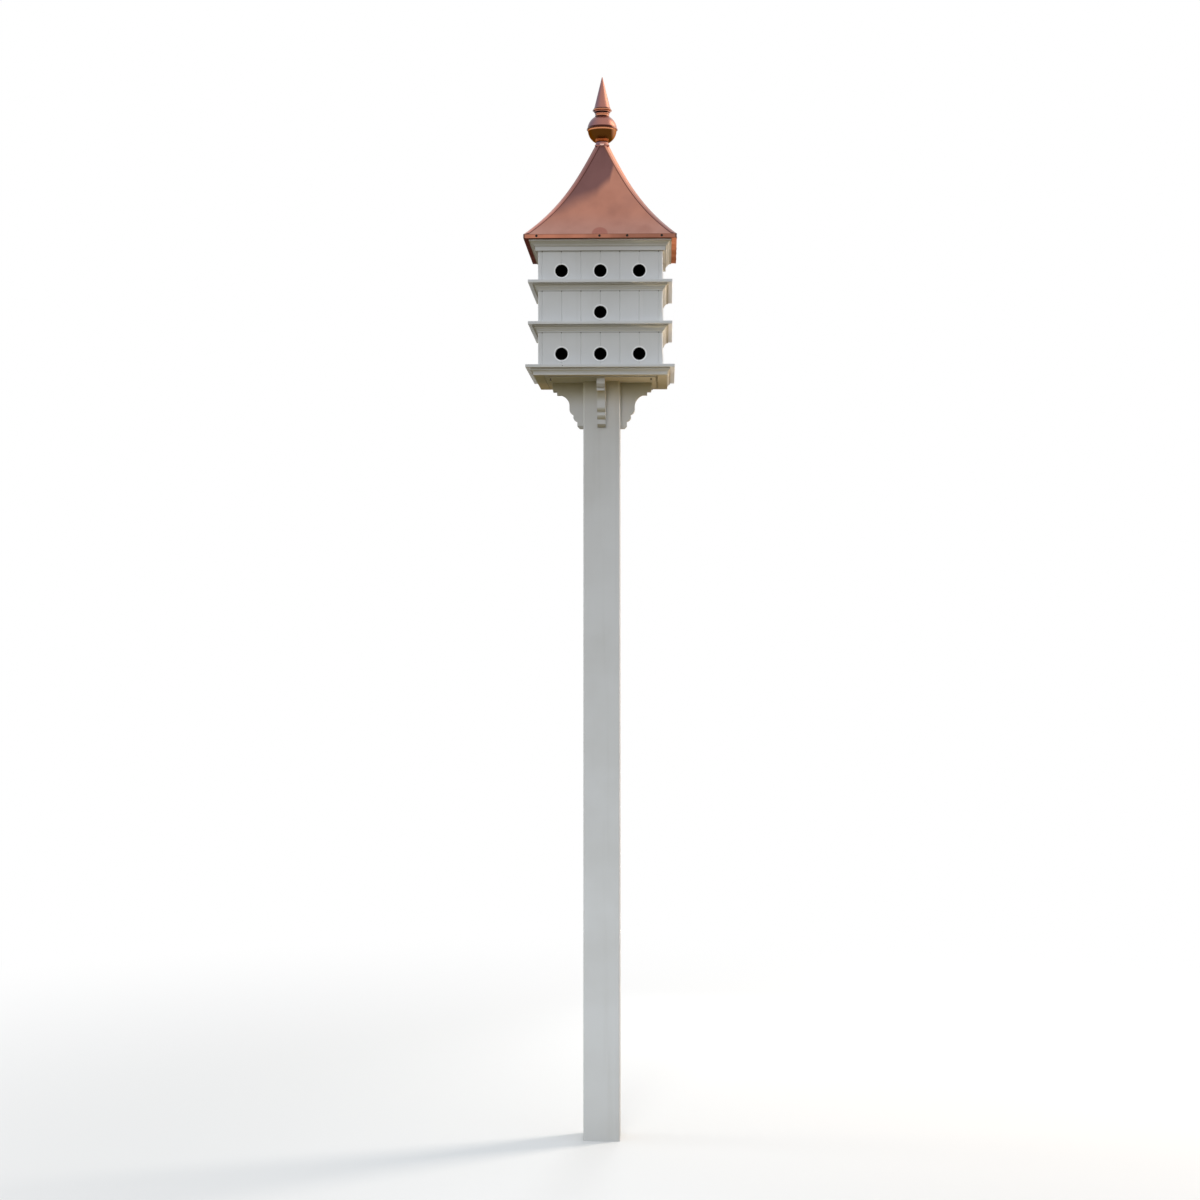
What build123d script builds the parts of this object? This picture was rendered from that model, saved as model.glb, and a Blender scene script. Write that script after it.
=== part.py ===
"""Purple martin birdhouse: three storeys of rooms on a sleeved post, under a flared copper roof.

Millimetres. +Z is up and the origin is the centre of the post's foot, at ground level.
The front faces -Y, the right-hand side faces +X.
"""
from build123d import *
from math import hypot, sqrt
import os

os.makedirs("parts", exist_ok=True)

# Post: a square timber inside a white sleeve
timber_width = 139.7
timber_clearance = 0.3
sleeve_wall = 15.7
sleeve_edge_radius = 9.5

# Heights, stacked from the ground up
post_height = 3551.0
panel_proud = 4.0
frame_height = 32.0
board_thickness = 14.0
storey_height_low = 184.0
storey_height_middle = 176.0
storey_height_top = 186.0
eave_board_thickness = 17.0

# House body
body_width = 571.5
wall_thickness = 12.7
corner_radius = 8.0
board_edge_radius = 2.0
platform_overhang = 55.0
ledge_overhang = 43.8
seam_gap = 0.4

# Entrance holes and the vertical grooves of the wall boards
hole_diameter = 54.0
hole_bevel = 1.6
hole_height_low = 53.0
hole_height_middle = 46.0
hole_height_top = 45.0
room_pitch = 177.8
groove_pitch = 88.9
groove_width = 5.0
groove_depth = 2.4

# Room dividers
divider_thickness = 9.5
divider_clearance = 0.3

# Base under the platform: a frame of mitred boards and a panel inside it that stands a little proud
frame_outer_reach = 21.0
frame_board_width = 46.5
frame_edge_radius = 2.0
panel_thickness = 12.7
panel_gap = 4.0
panel_post_gap = 0.8

# Mouldings: how far they stand out from what they are fixed to, and their heights
platform_crown_height = 20.0
platform_crown_foot = 1.5
platform_crown_foot_height = 2.0
platform_crown_waist = 4.0
platform_crown_waist_height = 4.5
platform_crown_reach = 12.0
platform_crown_lip = 9.0
ledge_crown_height = 31.0
ledge_crown_foot = 3.0
ledge_crown_foot_height = 4.0
ledge_crown_waist = 10.0
ledge_crown_waist_height = 14.0
ledge_crown_reach = 25.0
ledge_crown_lip = 6.0
frieze_thickness = 12.7
frieze_height = 49.5
eave_crown_height = 32.0
eave_crown_foot = 2.0
eave_crown_foot_height = 3.0
eave_crown_waist = 9.0
eave_crown_waist_height = 9.5
eave_crown_reach = 27.0
eave_crown_lip = 9.0
moulding_step_share = 0.12
moulding_bow_share = 0.13

# Roof: four curved copper sheets, a copper edge, hip strips and a cap
eave_reach = 63.5
copper_edge_thickness = 1.5
copper_edge_gap = 0.5
roof_rise = 470.0
roof_top_half = 32.0
roof_sheet = 4.0
flare_low = 0.46
flare_high = 0.233
hip_strip_width = 25.0
hip_strip_thickness = 1.5
hip_chamfer = 12.0
cap_thickness = 6.0

# Finial: a collar, two ball halves that meet in a rim, a turned neck and a spire
collar_radius = 30.5
collar_foot_radius = 34.5
collar_foot_height = 5.0
collar_bedding = 5.0
ball_lift = 82.0
ball_lower_radius = 68.0
ball_upper_radius = 70.0
ball_rim_radius = 72.8
ball_rim_height = 3.5
ball_shoulder_height = 13.0
shoulder_bow = 1.2
neck_foot_radius = 34.0
neck_foot_height = 6.0
neck_radius = 30.5
neck_groove_height = 5.0
ring_height = 9.0
ring_bow = 4.0
bead_root_radius = 35.3
bead_height = 9.0
bead_bow = 4.2
spire_rim_radius = 45.2
spire_rim_height = 2.5
spire_flare_height = 19.0
spire_flare_bow = 1.5
spire_radius = 35.5
spire_height = 137.5
spire_tip_radius = 1.5

# Scrolled brackets between the post and the base: depths from the post outwards, heights from the top down
bracket_thickness = 38.1
bracket_toe_depth = 30.5
bracket_heel_depth = 19.8
bracket_belly_depth = 17.4
bracket_cove_depth = 37.3
bracket_shelf_depth = 21.0
bracket_nose_depth = 22.0
bracket_nose_height = 42.0
bracket_nose_bevel = 4.0
bracket_nose_bevel_height = 15.0
bracket_shelf_height = 15.0
bracket_cove_height = 56.0
bracket_cove_bow = 11.0
bracket_belly_face_height = 14.0
bracket_belly_height = 21.3
bracket_belly_bow = 4.0
bracket_hollow_height = 14.1
bracket_hollow_bow = 1.5
bracket_heel_height = 18.8
bracket_heel_bow = 4.0
bracket_toe_height = 22.3
bracket_toe_chamfer = 11.3

# Places worked out from the sizes above
body_half = body_width / 2
sleeve_width = timber_width + 2 * (timber_clearance + sleeve_wall)
sleeve_half = sleeve_width / 2
frame_underside = post_height + panel_proud
platform_underside = frame_underside + frame_height
platform_top = platform_underside + board_thickness
ledge_underside_low = platform_top + storey_height_low
ledge_top_low = ledge_underside_low + board_thickness
ledge_underside_high = ledge_top_low + storey_height_middle
ledge_top_high = ledge_underside_high + board_thickness
eave_underside = ledge_top_high + storey_height_top
eave_top = eave_underside + eave_board_thickness
roof_top = eave_top + roof_rise
eave_half = body_half + eave_reach
eave_board_half = eave_half - copper_edge_thickness
frame_half = body_half + frame_outer_reach
frame_inner_half = frame_half - frame_board_width
frieze_half = body_half + frieze_thickness
inner_half = body_half - wall_thickness
mitre_reach = 2 * eave_half

side_turns = {"front": 0, "right": 90, "back": 180, "left": 270}


def save(node, *solids):
    """Write one node, made of one solid or of several that don't touch."""
    shape = solids[0] if len(solids) == 1 else Compound(children=list(solids))
    export_step(shape, f"parts/{node}.step")


def board(width, depth, z_low, thickness):
    """A flat board centred on the post, with its underside at z_low."""
    return Pos(0, 0, z_low + thickness / 2) * Box(width, depth, thickness)


def eased_board(half, z_low, thickness):
    """A square board whose outer edges are slightly rounded."""
    plain = board(2 * half, 2 * half, z_low, thickness)
    return fillet(plain.edges(), board_edge_radius)


def bowed(start, end, bow):
    """An arc whose middle lies bow to the left of the line from start to end; below 0, to the right."""
    run = hypot(end[0] - start[0], end[1] - start[1])
    left = (-(end[1] - start[1]) / run, (end[0] - start[0]) / run)
    middle = ((start[0] + end[0]) / 2 + bow * left[0], (start[1] + end[1]) / 2 + bow * left[1])
    return ThreePointArc(start, middle, end)


def front_wedge(gap):
    """The quarter of space that belongs to the front side, between the two mitre planes."""
    back_off = gap / sqrt(2)
    far = mitre_reach
    corners = [(0, -back_off), (far, -far - back_off), (-far, -far - back_off)]
    outline = make_face(Polyline(*corners, close=True))
    return extrude(outline, amount=2 * roof_top)


def front_stick(outline, gap=seam_gap):
    """Run an outline of (distance in front, height) along the front side, with mitred ends."""
    section = Plane.YZ * make_face(outline)
    stick = extrude(section, amount=mitre_reach, both=True)
    return stick & front_wedge(gap)


def around(stick):
    """The same stick on all four sides."""
    return [Rot(0, 0, turn) * stick for turn in side_turns.values()]


def rectangle_outline(near, far, z_low, z_high):
    """A plain rectangular section, from near to far in front of the axis."""
    return Polyline((-near, z_low), (-far, z_low), (-far, z_high), (-near, z_high), close=True)


def moulding_outline(back, z_top, height, foot, waist, reach, lip):
    """An ogee under a board: square foot, rounded belly, small step, cove, small step and square lip.

    The foot and the waist are each a pair: how far out, and how high above the moulding's underside.
    """
    z_low = z_top - height
    foot_out, foot_up = foot
    waist_out, waist_up = waist
    step = moulding_step_share * (reach - foot_out)
    foot_top = (-back - foot_out, z_low + foot_up)
    belly_end = (-back - waist_out + step, z_low + waist_up)
    cove_start = (-back - waist_out, z_low + waist_up)
    cove_end = (-back - reach + step, z_top - lip)
    belly_bow = moulding_bow_share * hypot(belly_end[0] - foot_top[0], belly_end[1] - foot_top[1])
    cove_bow = moulding_bow_share * hypot(cove_end[0] - cove_start[0], cove_end[1] - cove_start[1])
    return [
        Polyline((-back, z_low), (-back - foot_out, z_low), foot_top),
        bowed(foot_top, belly_end, belly_bow),
        Line(belly_end, cove_start),
        bowed(cove_start, cove_end, -cove_bow),
        Polyline(cove_end, (-back - reach, z_top - lip), (-back - reach, z_top), (-back, z_top)),
        Line((-back, z_top), (-back, z_low)),
    ]


def post():
    """The timber and the sleeve around it, from the ground to the base."""
    timber = board(timber_width, timber_width, 0, platform_underside)
    outer = board(sleeve_width, sleeve_width, 0, post_height)
    outer = fillet(outer.edges().filter_by(Axis.Z), sleeve_edge_radius)
    bore_width = timber_width + 2 * timber_clearance
    sleeve = outer - board(bore_width, bore_width, 0, post_height)
    return timber, sleeve


def bracket():
    """The scrolled bracket on the front of the post, its outline read from the nose down to the toe."""
    toe = bracket_toe_depth
    heel = toe + bracket_heel_depth
    belly = heel + bracket_belly_depth
    cove = belly + bracket_cove_depth
    shelf = cove + bracket_shelf_depth
    nose = shelf + bracket_nose_depth
    top = post_height
    nose_low = top - bracket_nose_height
    bevel_start = (nose, nose_low + bracket_nose_bevel_height)
    bevel_end = (nose - bracket_nose_bevel, nose_low)
    shelf_low = nose_low - bracket_shelf_height
    cove_end = (belly, shelf_low - bracket_cove_height)
    belly_start = (belly, cove_end[1] - bracket_belly_face_height)
    belly_end = (heel, belly_start[1] - bracket_belly_height)
    hollow_end = (heel, belly_end[1] - bracket_hollow_height)
    heel_end = (toe, hollow_end[1] - bracket_heel_height)
    chamfer_start = (toe, heel_end[1] - bracket_toe_height)
    chamfer_end = (toe - bracket_toe_chamfer, chamfer_start[1] - bracket_toe_chamfer)
    outline = [
        Polyline((0, top), (nose, top), bevel_start, bevel_end, (shelf, nose_low), (shelf, shelf_low)),
        Line((shelf, shelf_low), (cove, shelf_low)),
        bowed((cove, shelf_low), cove_end, -bracket_cove_bow),
        Line(cove_end, belly_start),
        bowed(belly_start, belly_end, bracket_belly_bow),
        bowed(belly_end, hollow_end, -bracket_hollow_bow),
        bowed(hollow_end, heel_end, bracket_heel_bow),
        Polyline(heel_end, chamfer_start, chamfer_end, (0, chamfer_end[1]), (0, top)),
    ]
    flat = extrude(Plane.XZ * make_face(outline), amount=bracket_thickness / 2, both=True)
    return Rot(0, 0, -90) * Pos(sleeve_half, 0, 0) * flat


def wall(width, z_low, z_high, hole_places, hole_height, round_corners):
    """One storey's wall on the front, grooved, with its entrance holes cut through."""
    height = z_high - z_low
    slab = Pos(0, -body_half + wall_thickness / 2, z_low + height / 2) * Box(width, wall_thickness, height)
    if round_corners:
        upright = slab.edges().filter_by(Axis.Z).group_by(Axis.Y)[0]
        slab = fillet(upright, corner_radius)
    face_y = -body_half
    mouth = groove_width / 2
    groove_outline = [(-mouth, face_y), (0, face_y + groove_depth), (mouth, face_y)]
    groove = extrude(make_face(Polyline(*groove_outline, close=True)), amount=height)
    groove_count = int((width / 2 - groove_width) / groove_pitch)
    for index in range(-groove_count, groove_count + 1):
        slab -= Pos(index * groove_pitch, 0, z_low) * groove
    hole_radius = hole_diameter / 2
    bore = Rot(90, 0, 0) * Cylinder(hole_radius, 2 * wall_thickness)
    bevel = Rot(90, 0, 0) * Cone(hole_radius, hole_radius + hole_bevel, hole_bevel)
    for place in hole_places:
        x = place * room_pitch
        slab -= Pos(x, face_y + wall_thickness / 2, z_low + hole_height) * bore
        slab -= Pos(x, face_y + hole_bevel / 2, z_low + hole_height) * bevel
    return slab


def storey_walls(number, z_low, z_high, hole_height, row, side_row):
    """Write the four walls of a storey; the side walls stand between the front and the back."""
    side_width = 2 * (inner_half - divider_clearance / 2)
    for side, turn in side_turns.items():
        across = side in ("front", "back")
        width = body_width if across else side_width
        holes = row if across else side_row
        made = wall(width, z_low, z_high, holes, hole_height, across)
        save(f"{side}_wall_{number}", Rot(0, 0, turn) * made)


def dividers(z_low, z_high):
    """The boards that part a storey into eight rooms around a middle shaft."""
    height = z_high - z_low
    z_middle = z_low + height / 2
    run = 2 * (inner_half - divider_clearance)
    half_thick = divider_thickness / 2
    lines = (-room_pitch / 2, room_pitch / 2)
    made = [Pos(x, 0, z_middle) * Box(divider_thickness, run, height) for x in lines]
    near = room_pitch / 2 + half_thick + divider_clearance
    far = inner_half - divider_clearance
    shaft = room_pitch - divider_thickness - 2 * divider_clearance
    for y in lines:
        made.append(Pos(0, y, z_middle) * Box(shaft, divider_thickness, height))
        for turn in (-1, 1):
            middle = turn * (near + far) / 2
            made.append(Pos(middle, y, z_middle) * Box(far - near, divider_thickness, height))
    return made


def base():
    """The frame of mitred boards under the platform and the panel inside it, which bears on the sleeve."""
    section = make_face(rectangle_outline(frame_inner_half, frame_half, frame_underside, platform_underside))
    low_corner = section.vertices().sort_by(Axis.X)[:2].sort_by(Axis.Y)[0]
    section = fillet(low_corner, frame_edge_radius)
    frame_stick = extrude(Plane.YZ * section, amount=mitre_reach, both=True) & front_wedge(seam_gap)
    panel_width = 2 * (frame_inner_half - panel_gap)
    slot_width = timber_width + 2 * panel_post_gap
    panel = board(panel_width, panel_width, post_height, panel_thickness)
    panel -= board(slot_width, slot_width, post_height, panel_thickness)
    return around(frame_stick), panel


def roof_curve(shift, factor=1.0):
    """The flared outline of the roof from eave to top: its reach moved out by shift, then times factor."""
    span = eave_half - roof_top_half
    reaches = (eave_half, roof_top_half + span * flare_low, roof_top_half + span * flare_high, roof_top_half)
    heights = (eave_top, eave_top + roof_rise / 3, eave_top + roof_rise * 2 / 3, roof_top)
    return Bezier(*[(-(reach + shift) * factor, z) for reach, z in zip(reaches, heights)])


def roof_ridge(curve):
    """A ridge along X whose two slopes follow the curve."""
    top = curve @ 1
    foot = curve @ 0
    across = [curve, Polyline(top, (0, roof_top), (0, eave_top), foot)]
    half = extrude(Plane.YZ * make_face(across), amount=mitre_reach, both=True)
    return half + Rot(0, 0, 180) * half


def roof_mass(shift, chamfer):
    """The whole space under the roof's outline moved out by shift, with its hips cut off by a chamfer."""
    ridge = roof_ridge(roof_curve(shift))
    cut = roof_ridge(roof_curve(shift - chamfer / 2, sqrt(2)))
    return ridge & Rot(0, 0, 90) * ridge & Rot(0, 0, 45) * cut & Rot(0, 0, 135) * cut


def roof_sheet_front(under_strips):
    """One curved sheet of the roof, mitred along both hips and chamfered under the hip strips."""
    outer = roof_curve(0)
    inner = roof_curve(-roof_sheet)
    outline = [outer, Line(outer @ 1, inner @ 1), inner, Line(inner @ 0, outer @ 0)]
    return front_stick(outline, gap=0) & under_strips


def hip_strips(under_strips):
    """The copper strips that fold over the four hips, each with a narrow flat along the corner."""
    skin = roof_mass(hip_strip_thickness, hip_chamfer) - under_strips
    reach = 2 * mitre_reach
    slab = Pos(reach / 2, 0, roof_top / 2) * Box(reach, hip_strip_width * sqrt(2), 2 * roof_top)
    return [skin & (Rot(0, 0, 45 + turn) * slab) for turn in side_turns.values()]


def copper_edge():
    """The copper strip around the eave board, turned in under it as far as the moulding."""
    far = eave_half
    near = eave_board_half
    inmost = frieze_half + eave_crown_reach + copper_edge_gap
    low = eave_underside - copper_edge_thickness
    outline = Polyline(
        (-far, low),
        (-far, eave_top),
        (-near, eave_top),
        (-near, eave_underside),
        (-inmost, eave_underside),
        (-inmost, low),
        close=True,
    )
    return around(front_stick(outline))


def turned(start, *moves):
    """A turned piece: its outline goes up from start, and each move is a radius, a height and a bow."""
    edges = [Line((0, start[1]), start)]
    here = start
    for radius, height, bow in moves:
        end = (radius, height)
        edges.append(bowed(here, end, -bow) if bow else Line(here, end))
        here = end
    edges.append(Polyline(here, (0, here[1]), (0, start[1])))
    return revolve(Plane.XZ * make_face(edges), Axis.Z)


def finial():
    """The copper ball and spire, from the collar on the roof cap upwards."""
    foot = roof_top + cap_thickness
    middle = roof_top + ball_lift
    lower_ball = Pos(0, 0, middle) * Sphere(ball_lower_radius)
    span = 4 * ball_upper_radius
    ball_lower = lower_ball - Pos(0, 0, middle + span / 2) * Box(span, span, span)

    collar_top = middle - sqrt(ball_lower_radius**2 - collar_radius**2) + collar_bedding
    collar = turned(
        (collar_foot_radius, foot),
        (collar_foot_radius, foot + collar_foot_height, 0),
        (collar_radius, foot + collar_foot_height, 0),
        (collar_radius, collar_top, 0),
    ) - lower_ball

    rim_top = middle + ball_rim_height
    shoulder_radius = sqrt(ball_upper_radius**2 - ball_shoulder_height**2)
    crown_height = middle + sqrt(ball_upper_radius**2 - neck_foot_radius**2)
    run = hypot(shoulder_radius - neck_foot_radius, crown_height - middle - ball_shoulder_height)
    ball_bow = ball_upper_radius - sqrt(ball_upper_radius**2 - (run / 2)**2)
    neck_low = crown_height + neck_foot_height
    ball_upper = turned(
        (ball_rim_radius, middle),
        (ball_rim_radius, rim_top, 0),
        (shoulder_radius, middle + ball_shoulder_height, -shoulder_bow),
        (neck_foot_radius, crown_height, ball_bow),
        (neck_foot_radius, neck_low, 0),
    )

    ring_low = neck_low + neck_groove_height
    bead_low = ring_low + ring_height
    spire_low = bead_low + bead_height
    neck = turned(
        (neck_radius, neck_low),
        (neck_radius, ring_low, 0),
        (neck_radius, bead_low, ring_bow),
        (bead_root_radius, bead_low, 0),
        (bead_root_radius, spire_low, bead_bow),
    )

    flare_low_end = spire_low + spire_rim_height
    cone_low = flare_low_end + spire_flare_height
    spire = turned(
        (spire_rim_radius, spire_low),
        (spire_rim_radius, flare_low_end, 0),
        (spire_radius, cone_low, -spire_flare_bow),
        (spire_tip_radius, cone_low + spire_height, 0),
    )
    return collar, ball_lower, ball_upper, neck, spire


post_timber, post_sleeve = post()
save("post_timber", post_timber)
save("post_sleeve", post_sleeve)
for side_name, side_turn in side_turns.items():
    save(f"{side_name}_bracket", Rot(0, 0, side_turn) * bracket())

base_frame, base_panel = base()
save("base_frame", *base_frame)
save("base_panel", base_panel)

save("platform_board", eased_board(body_half + platform_overhang, platform_underside, board_thickness))
save("ledge_board_low", eased_board(body_half + ledge_overhang, ledge_underside_low, board_thickness))
save("ledge_board_high", eased_board(body_half + ledge_overhang, ledge_underside_high, board_thickness))
save("eave_board", board(2 * eave_board_half, 2 * eave_board_half, eave_underside, eave_board_thickness))

outer_row = (-1, 0, 1)
single_row = (0,)
storey_walls(1, platform_top, ledge_underside_low, hole_height_low, outer_row, single_row)
storey_walls(2, ledge_top_low, ledge_underside_high, hole_height_middle, single_row, outer_row)
storey_walls(3, ledge_top_high, eave_underside, hole_height_top, outer_row, single_row)
save("dividers_1", *dividers(platform_top, ledge_underside_low))
save("dividers_2", *dividers(ledge_top_low, ledge_underside_high))
save("dividers_3", *dividers(ledge_top_high, eave_underside))

platform_crown = moulding_outline(
    frame_half, platform_underside, platform_crown_height,
    (platform_crown_foot, platform_crown_foot_height), (platform_crown_waist, platform_crown_waist_height),
    platform_crown_reach, platform_crown_lip)
save("platform_crown", *around(front_stick(platform_crown)))
for level_name, level in (("low", ledge_underside_low), ("high", ledge_underside_high)):
    ledge_crown = moulding_outline(
        body_half, level, ledge_crown_height,
        (ledge_crown_foot, ledge_crown_foot_height), (ledge_crown_waist, ledge_crown_waist_height),
        ledge_crown_reach, ledge_crown_lip)
    save(f"ledge_crown_{level_name}", *around(front_stick(ledge_crown)))
frieze = rectangle_outline(body_half, frieze_half, eave_underside - frieze_height, eave_underside)
save("frieze", *around(front_stick(frieze)))
eave_crown = moulding_outline(
    frieze_half, eave_underside, eave_crown_height,
    (eave_crown_foot, eave_crown_foot_height), (eave_crown_waist, eave_crown_waist_height),
    eave_crown_reach, eave_crown_lip)
save("eave_crown", *around(front_stick(eave_crown)))

save("copper_edge", *copper_edge())
under_strips = roof_mass(0, hip_chamfer - hip_strip_thickness * (2 - sqrt(2)))
sheet = roof_sheet_front(under_strips)
for side_name, side_turn in side_turns.items():
    save(f"{side_name}_roof_sheet", Rot(0, 0, side_turn) * sheet)
save("hip_strips", *hip_strips(under_strips))
save("roof_cap", board(2 * roof_top_half, 2 * roof_top_half, roof_top, cap_thickness))
collar, ball_lower, ball_upper, neck, spire = finial()
save("finial_collar", collar)
save("finial_ball_lower", ball_lower)
save("finial_ball_upper", ball_upper)
save("finial_neck", neck)
save("finial_spire", spire)
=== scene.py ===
"""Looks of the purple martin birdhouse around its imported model.

Metres. +Z is up, the origin is at the post's foot, the front faces -Y and the right-hand side faces +X.
"""

import math

import bmesh
import bpy
from mathutils import Matrix, Vector


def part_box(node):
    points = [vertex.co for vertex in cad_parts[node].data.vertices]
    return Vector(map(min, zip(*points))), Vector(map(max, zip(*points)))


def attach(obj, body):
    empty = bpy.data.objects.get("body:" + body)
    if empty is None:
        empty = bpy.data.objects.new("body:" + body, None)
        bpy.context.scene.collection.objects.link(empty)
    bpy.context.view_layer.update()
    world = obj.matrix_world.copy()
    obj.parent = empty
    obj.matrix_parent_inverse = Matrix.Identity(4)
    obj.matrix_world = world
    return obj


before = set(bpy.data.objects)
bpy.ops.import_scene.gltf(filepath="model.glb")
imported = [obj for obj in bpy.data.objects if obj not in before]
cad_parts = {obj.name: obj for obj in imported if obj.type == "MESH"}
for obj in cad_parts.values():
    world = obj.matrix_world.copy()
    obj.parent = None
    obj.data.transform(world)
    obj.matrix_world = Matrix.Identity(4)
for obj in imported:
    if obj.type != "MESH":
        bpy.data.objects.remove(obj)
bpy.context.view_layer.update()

# Each side, and how far it is turned from the front in degrees
SIDES = {"front": 0, "right": 90, "back": 180, "left": 270}

# Camera, fitted to the photograph. The column and the row are places in its 1200 x 1200 image
CAMERA_DISTANCE = 9.896
CAMERA_HEIGHT = 2.437
CAMERA_SWING = 0.030
CAMERA_LENS = 63.0
CAMERA_SENSOR = 36.0
IMAGE_SIZE = 1200
AXIS_COLUMN = 602.2
HORIZON_ROW = 619.7

# Places taken from the frame
BODY_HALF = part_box("front_wall_1")[1][0]
PLATFORM_LOW, PLATFORM_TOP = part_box("platform_board")[0][2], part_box("platform_board")[1][2]
PLATFORM_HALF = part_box("platform_board")[1][0]
PANEL_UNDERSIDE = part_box("base_panel")[0][2]
SLEEVE_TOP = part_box("post_sleeve")[1][2]
BRACKET_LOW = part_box("front_bracket")[0][2]
EDGE_HALF, EDGE_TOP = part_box("copper_edge")[1][0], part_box("copper_edge")[1][2]
ROOF_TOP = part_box("front_roof_sheet")[1][2]
CAP_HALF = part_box("roof_cap")[1][0]
COLLAR_HALF, COLLAR_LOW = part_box("finial_collar")[1][0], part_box("finial_collar")[0][2]
BALL_LOW, BALL_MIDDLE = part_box("finial_ball_lower")[0][2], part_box("finial_ball_lower")[1][2]


class Nodes:
    """A node tree, with short calls that add and join its nodes."""

    def __init__(self, tree):
        self.tree = tree

    def node(self, kind, inputs=None, **settings):
        """Add a node of a kind. Inputs go by name or number, and settings by name."""
        made = self.tree.nodes.new(f"ShaderNode{kind}")
        for name, value in settings.items():
            setattr(made, name, value)
        for name, value in (inputs or {}).items():
            self.feed(made.inputs[name], value)
        return made

    def feed(self, socket, value):
        """Join a node's output to the socket, or set the socket to a plain value."""
        if isinstance(value, bpy.types.NodeSocket):
            self.tree.links.new(value, socket)
        elif socket.type == "RGBA":
            socket.default_value = (*value, 1.0)
        else:
            socket.default_value = value

    def calc(self, operation, first, second=0.0):
        """One step of arithmetic, by Blender's name for it."""
        made = self.node("Math", operation=operation)
        self.feed(made.inputs[0], first)
        self.feed(made.inputs[1], second)
        return made.outputs["Value"]

    def plus(self, first, second):
        return self.calc("ADD", first, second)

    def times(self, first, second):
        return self.calc("MULTIPLY", first, second)

    def larger(self, first, second):
        return self.calc("MAXIMUM", first, second)

    def size(self, value):
        """The value without its sign."""
        return self.calc("ABSOLUTE", value)


class Shader(Nodes):
    """A material, with calls for places on the model, for noise and for mixed colours."""

    def __init__(self, name):
        self.material = bpy.data.materials.new(name)
        self.material.use_nodes = True
        super().__init__(self.material.node_tree)
        self.surface = self.tree.nodes["Principled BSDF"]
        self.place = self.node("TexCoord").outputs["Object"]

    def set(self, **values):
        """Set or join sockets of the surface; Base_Color stands for Base Color."""
        for name, value in values.items():
            self.feed(self.surface.inputs[name.replace("_", " ")], value)

    def moved(self, turn=0.0, scale=(1, 1, 1), shift=(0, 0, 0)):
        """The object's own coordinates, turned about Z by degrees, scaled and shifted."""
        made = self.node("Mapping", {
            "Vector": self.place,
            "Rotation": (0, 0, -math.radians(turn)),
            "Scale": scale,
            "Location": shift,
        })
        return made.outputs["Vector"]

    def noise(self, place, scale=1.0, detail=2.0, roughness=0.5):
        made = self.node("TexNoise", {
            "Vector": place, "Scale": scale, "Detail": detail, "Roughness": roughness,
        })
        return made.outputs["Fac"]

    def range(self, value, low, high, to_low=0.0, to_high=1.0):
        """The value's range low to high, stretched smoothly to the new range and clamped."""
        made = self.node("MapRange", {
            "Value": value, "From Min": low, "From Max": high, "To Min": to_low, "To Max": to_high,
        }, interpolation_type="SMOOTHSTEP")
        return made.outputs["Result"]

    def band(self, value, low, high, soft):
        """1 between low and high, with soft ends, and 0 elsewhere."""
        rise = self.range(value, low - soft, low + soft)
        return self.times(rise, self.range(value, high - soft, high + soft, 1.0, 0.0))

    def mix(self, share, first, second):
        """The first colour, with a share of the second."""
        made = self.node("Mix", data_type="RGBA")
        self.feed(made.inputs["Factor"], share)
        self.feed(made.inputs[6], first)
        self.feed(made.inputs[7], second)
        return made.outputs[2]

    def bump(self, height, distance, strength):
        inputs = {"Height": height, "Distance": distance, "Strength": strength}
        return self.node("Bump", inputs).outputs["Normal"]

    def axes(self, place=None):
        """A place's X, Y and Z. Without one it is the object's own coordinates."""
        made = self.node("SeparateXYZ", {"Vector": self.place if place is None else place})
        return made.outputs["X"], made.outputs["Y"], made.outputs["Z"]

    def height(self):
        return self.axes()[2]

    def facing(self):
        """The surface's own direction, as X, Y and Z."""
        return self.axes(self.node("NewGeometry").outputs["Normal"])

    def reach(self):
        """How far a point lies from the axis towards the nearest side: the larger of |X| and |Y|."""
        x, y = self.axes()[:2]
        return self.larger(self.size(x), self.size(y))

    def by_side(self, level, across):
        """The first value on the front and the back, and the second on the left and the right."""
        x, y = self.axes()[:2]
        front_or_back = self.calc("GREATER_THAN", self.size(y), self.size(x))
        left_or_right = self.calc("SUBTRACT", 1.0, front_or_back)
        return self.plus(self.times(level, front_or_back), self.times(across, left_or_right))

    def along(self):
        """Place along a side, growing to the right as one faces that side."""
        x, y = self.axes()[:2]
        level = self.times(x, self.times(self.calc("SIGN", y), -1.0))
        return self.by_side(level, self.times(y, self.calc("SIGN", x)))

    def outward(self):
        """How squarely a face looks out from the axis on its side: 0 for a face along the radius."""
        x, y = self.facing()[:2]
        return self.calc("SUBTRACT", 1.0, self.by_side(self.size(x), self.size(y)))

    def bearing(self):
        """A point's direction from the axis: -1 on the left, 0 at the front and back, 1 on the right."""
        x, y = self.axes()[:2]
        level = self.node("CombineXYZ", {"X": x, "Y": y}).outputs["Vector"]
        unit = self.node("VectorMath", {0: level}, operation="NORMALIZE").outputs["Vector"]
        return self.axes(unit)[0]


# White vinyl board, the grime of its streaks, which also tones painted shade, and the tones of painted
# shade: olive under the house, dark in the grooves and under the mouldings, and near black in the rooms
VINYL_LIGHT = (0.69, 0.695, 0.70)
VINYL_DULL = (0.63, 0.63, 0.625)
GRIME_AND_SHADE = (0.27, 0.24, 0.17)
SHADE_OLIVE = (0.38, 0.31, 0.09)
SHADE_DARK = (0.10, 0.085, 0.06)
ROOM_SHADE = (0.006, 0.006, 0.006)

# Board that lies deeper than the first behind the walls' faces, and higher than the second under the
# platform's top, faces the rooms
ROOM_DEPTH = 0.0032
ROOM_FLOOR_DEPTH = 0.0004
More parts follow.
